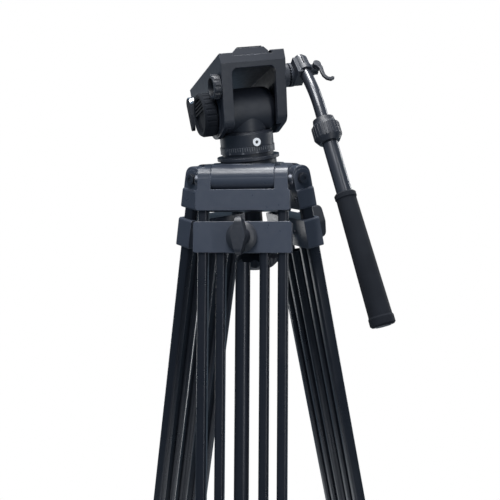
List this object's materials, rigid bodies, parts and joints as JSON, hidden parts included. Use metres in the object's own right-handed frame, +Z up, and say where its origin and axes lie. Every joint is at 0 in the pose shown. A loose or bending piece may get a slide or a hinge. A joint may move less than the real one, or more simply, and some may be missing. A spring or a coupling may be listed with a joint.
{
  "type": "video tripod with fluid head",
  "caption": "Black twin-tube video tripod with a levelling bowl and a fluid head with a pan handle, legs closed up and part spread.",
  "frame": {"origin": "on the floor, at the middle of the footprint's bounding box", "axes": "+Z up, -Y towards the front leg, +X towards the pan handle's side"},
  "size_m": [0.403, 0.3742, 0.903],
  "materials": {
    "casting_grey": "powder coated, satin",
    "head_black": "fine textured black coating",
    "tube_black": "black anodised, satin",
    "knob_black": "moulded, matt",
    "rubber_black": "matt",
    "steel": "bright",
    "chrome": "polished",
    "level_fluid": "clear, tinted"
  },
  "bodies": {
    "bowl_body": {"bowl": "casting_grey", "leg_hinge_pins": "steel"},
    "front_leg": {"front_yoke": "casting_grey", "front_outer_tubes": "tube_black", "front_guide_block": "casting_grey"},
    "front_slider": {"front_slide_collar": "casting_grey", "front_inner_tubes": "tube_black", "front_lower_collar": "casting_grey"},
    "front_extension": {"front_centre_tube": "tube_black", "front_foot": "rubber_black"},
    "front_upper_lock": {"front_upper_knob": "knob_black"},
    "front_lower_lock": {"front_lower_knob": "knob_black"},
    "right_leg": {"right_yoke": "casting_grey", "right_outer_tubes": "tube_black", "right_guide_block": "casting_grey"},
    "right_slider": {"right_slide_collar": "casting_grey", "right_inner_tubes": "tube_black", "right_lower_collar": "casting_grey"},
    "right_extension": {"right_centre_tube": "tube_black", "right_foot": "rubber_black"},
    "right_upper_lock": {"right_upper_knob": "knob_black"},
    "right_lower_lock": {"right_lower_knob": "knob_black"},
    "left_leg": {"left_yoke": "casting_grey", "left_outer_tubes": "tube_black", "left_guide_block": "casting_grey"},
    "left_slider": {"left_slide_collar": "casting_grey", "left_inner_tubes": "tube_black", "left_lower_collar": "casting_grey"},
    "left_extension": {"left_centre_tube": "tube_black", "left_foot": "rubber_black"},
    "left_upper_lock": {"left_upper_knob": "knob_black"},
    "left_lower_lock": {"left_lower_knob": "knob_black"},
    "ball": {"half_ball": "head_black", "tie_down_stud": "steel", "tie_down_cup": "head_black"},
    "tie_down": {"tie_down_knob": "knob_black"},
    "pan_body": {"pan_base": "head_black", "pan_scale_ring": "head_black", "pan_set_screw": "chrome", "tilt_column": "head_black", "tilt_shaft": "steel"},
    "pan_lock": {"pan_lock_knob": "knob_black"},
    "cradle_body": {"cradle": "head_black", "shaft_cap": "knob_black", "bubble_level": "level_fluid"},
    "drag": {"drag_knob": "knob_black"},
    "tilt_lock": {"tilt_lock_lever": "knob_black"},
    "counterbalance": {"counterbalance_knob": "knob_black"},
    "plate": {"quick_release_plate": "head_black", "plate_pads": "rubber_black"},
    "screw": {"camera_screw": "steel"},
    "plate_lock": {"plate_lock_lever": "steel"},
    "handle": {"handle_clamp": "head_black", "handle_rod": "tube_black"},
    "handle_wing": {"handle_wing_lever": "knob_black"},
    "grip": {"handle_tube": "tube_black", "handle_grip": "rubber_black"},
    "twist": {"handle_twist_collar": "knob_black"}
  },
  "joints": [
    {"name": "front_leg_splay", "type": "hinge", "parent": "bowl_body", "child": "front_leg", "pos_m": [0, -0.00393, 0.73676], "axis": [-1, 0, 0], "range_deg": [-9, 12]},
    {"name": "front_slider_travel", "type": "slide", "parent": "front_leg", "child": "front_slider", "axis": [0, -0.1891, -0.982], "range_m": [0, 0.51]},
    {"name": "front_extension_travel", "type": "slide", "parent": "front_slider", "child": "front_extension", "axis": [0, -0.1891, -0.982], "range_m": [0, 0.506]},
    {"name": "front_upper_knob_turn", "type": "hinge", "parent": "front_slider", "child": "front_upper_lock", "pos_m": [0, -0.02908, 0.6664], "axis": [0, -0.982, 0.1891], "range_deg": [0, 270]},
    {"name": "front_lower_knob_turn", "type": "hinge", "parent": "front_slider", "child": "front_lower_lock", "pos_m": [0, -0.14475, 0.07953], "axis": [0, -0.982, 0.1891], "range_deg": [0, 270]},
    {"name": "right_leg_splay", "type": "hinge", "parent": "bowl_body", "child": "right_leg", "pos_m": [0.0446, 0.07332, 0.73676], "axis": [0.5, -0.866, 0], "range_deg": [-9, 12]},
    {"name": "right_slider_travel", "type": "slide", "parent": "right_leg", "child": "right_slider", "axis": [0.1638, 0.0945, -0.982], "range_m": [0, 0.51]},
    {"name": "right_extension_travel", "type": "slide", "parent": "right_slider", "child": "right_extension", "axis": [0.1638, 0.0945, -0.982], "range_m": [0, 0.506]},
    {"name": "right_upper_knob_turn", "type": "hinge", "parent": "right_slider", "child": "right_upper_lock", "pos_m": [0.06639, 0.0859, 0.6664], "axis": [0.8504, 0.491, 0.1891], "range_deg": [0, 270]},
    {"name": "right_lower_knob_turn", "type": "hinge", "parent": "right_slider", "child": "right_lower_lock", "pos_m": [0.16655, 0.14373, 0.07953], "axis": [0.8504, 0.491, 0.1891], "range_deg": [0, 270]},
    {"name": "left_leg_splay", "type": "hinge", "parent": "bowl_body", "child": "left_leg", "pos_m": [-0.0446, 0.07332, 0.73676], "axis": [0.5, 0.866, 0], "range_deg": [-9, 12]},
    {"name": "left_slider_travel", "type": "slide", "parent": "left_leg", "child": "left_slider", "axis": [-0.1638, 0.0945, -0.982], "range_m": [0, 0.51]},
    {"name": "left_extension_travel", "type": "slide", "parent": "left_slider", "child": "left_extension", "axis": [-0.1638, 0.0945, -0.982], "range_m": [0, 0.506]},
    {"name": "left_upper_knob_turn", "type": "hinge", "parent": "left_slider", "child": "left_upper_lock", "pos_m": [-0.06639, 0.0859, 0.6664], "axis": [-0.8504, 0.491, 0.1891], "range_deg": [0, 270]},
    {"name": "left_lower_knob_turn", "type": "hinge", "parent": "left_slider", "child": "left_lower_lock", "pos_m": [-0.16655, 0.14373, 0.07953], "axis": [-0.8504, 0.491, 0.1891], "range_deg": [0, 270]},
    {"name": "ball_level", "type": "hinge", "parent": "bowl_body", "child": "ball", "pos_m": [0, 0.04757, 0.75676], "axis": [0.8572, -0.515, 0], "range_deg": [-14.4, 1.6]},
    {"name": "tie_down_turn", "type": "hinge", "parent": "ball", "child": "tie_down", "pos_m": [0.00723, 0.05961, 0.63154], "axis": [0.0574, 0.0955, -0.9938], "continuous": true},
    {"name": "pan_turn", "type": "hinge", "parent": "ball", "child": "pan_body", "pos_m": [0, 0.04757, 0.75676], "axis": [-0.0574, -0.0955, 0.9938], "continuous": true},
    {"name": "pan_lock_turn", "type": "hinge", "parent": "pan_body", "child": "pan_lock", "pos_m": [-0.02408, 0.07329, 0.78752], "axis": [-0.6168, 0.7861, 0.0399], "range_deg": [0, 270]},
    {"name": "tilt", "type": "hinge", "parent": "pan_body", "child": "cradle_body", "pos_m": [-0.00393, 0.04103, 0.82483], "axis": [0.8802, 0.4649, 0.0955], "range_deg": [-44, 25]},
    {"name": "drag_turn", "type": "hinge", "parent": "cradle_body", "child": "drag", "pos_m": [-0.04249, 0.02067, 0.82065], "axis": [0.8802, 0.4649, 0.0955], "range_deg": [-135, 135]},
    {"name": "tilt_lock_swing", "type": "hinge", "parent": "cradle_body", "child": "tilt_lock", "pos_m": [-0.08076, 0.0916, 0.83854], "axis": [0.8802, 0.4649, 0.0955], "range_deg": [-60, 0]},
    {"name": "counterbalance_turn", "type": "hinge", "parent": "cradle_body", "child": "counterbalance", "pos_m": [-0.02753, -0.01213, 0.85292], "axis": [0.8802, 0.4649, 0.0955], "range_deg": [-180, 180]},
    {"name": "plate_slide", "type": "slide", "parent": "cradle_body", "child": "plate", "axis": [-0.4386, 0.8737, -0.2102], "range_m": [-0.02, 0.03]},
    {"name": "camera_screw_turn", "type": "hinge", "parent": "plate", "child": "screw", "pos_m": [-0.01269, 0.04584, 0.8821], "axis": [-0.1812, 0.1432, 0.973], "continuous": true},
    {"name": "plate_lock_swing", "type": "hinge", "parent": "cradle_body", "child": "plate_lock", "pos_m": [-0.00707, 0.10739, 0.87409], "axis": [-0.1812, 0.1432, 0.973], "range_deg": [-60, 0]},
    {"name": "handle_swing", "type": "hinge", "parent": "cradle_body", "child": "handle", "pos_m": [0.05381, 0.03, 0.86779], "axis": [0.8802, 0.4649, 0.0955], "range_deg": [-110, 10]},
    {"name": "handle_wing_turn", "type": "hinge", "parent": "handle", "child": "handle_wing", "pos_m": [0.08983, 0.02601, 0.87358], "axis": [0.3067, -0.7107, 0.6331], "range_deg": [-60, 60]},
    {"name": "handle_extend", "type": "slide", "parent": "handle", "child": "grip", "axis": [0.2705, -0.326, -0.9058], "range_m": [0, 0.1]},
    {"name": "twist_turn", "type": "hinge", "parent": "grip", "child": "twist", "pos_m": [0.10154, -0.01421, 0.80963], "axis": [-0.2705, 0.326, 0.9058], "range_deg": [0, 120]}
  ]
}
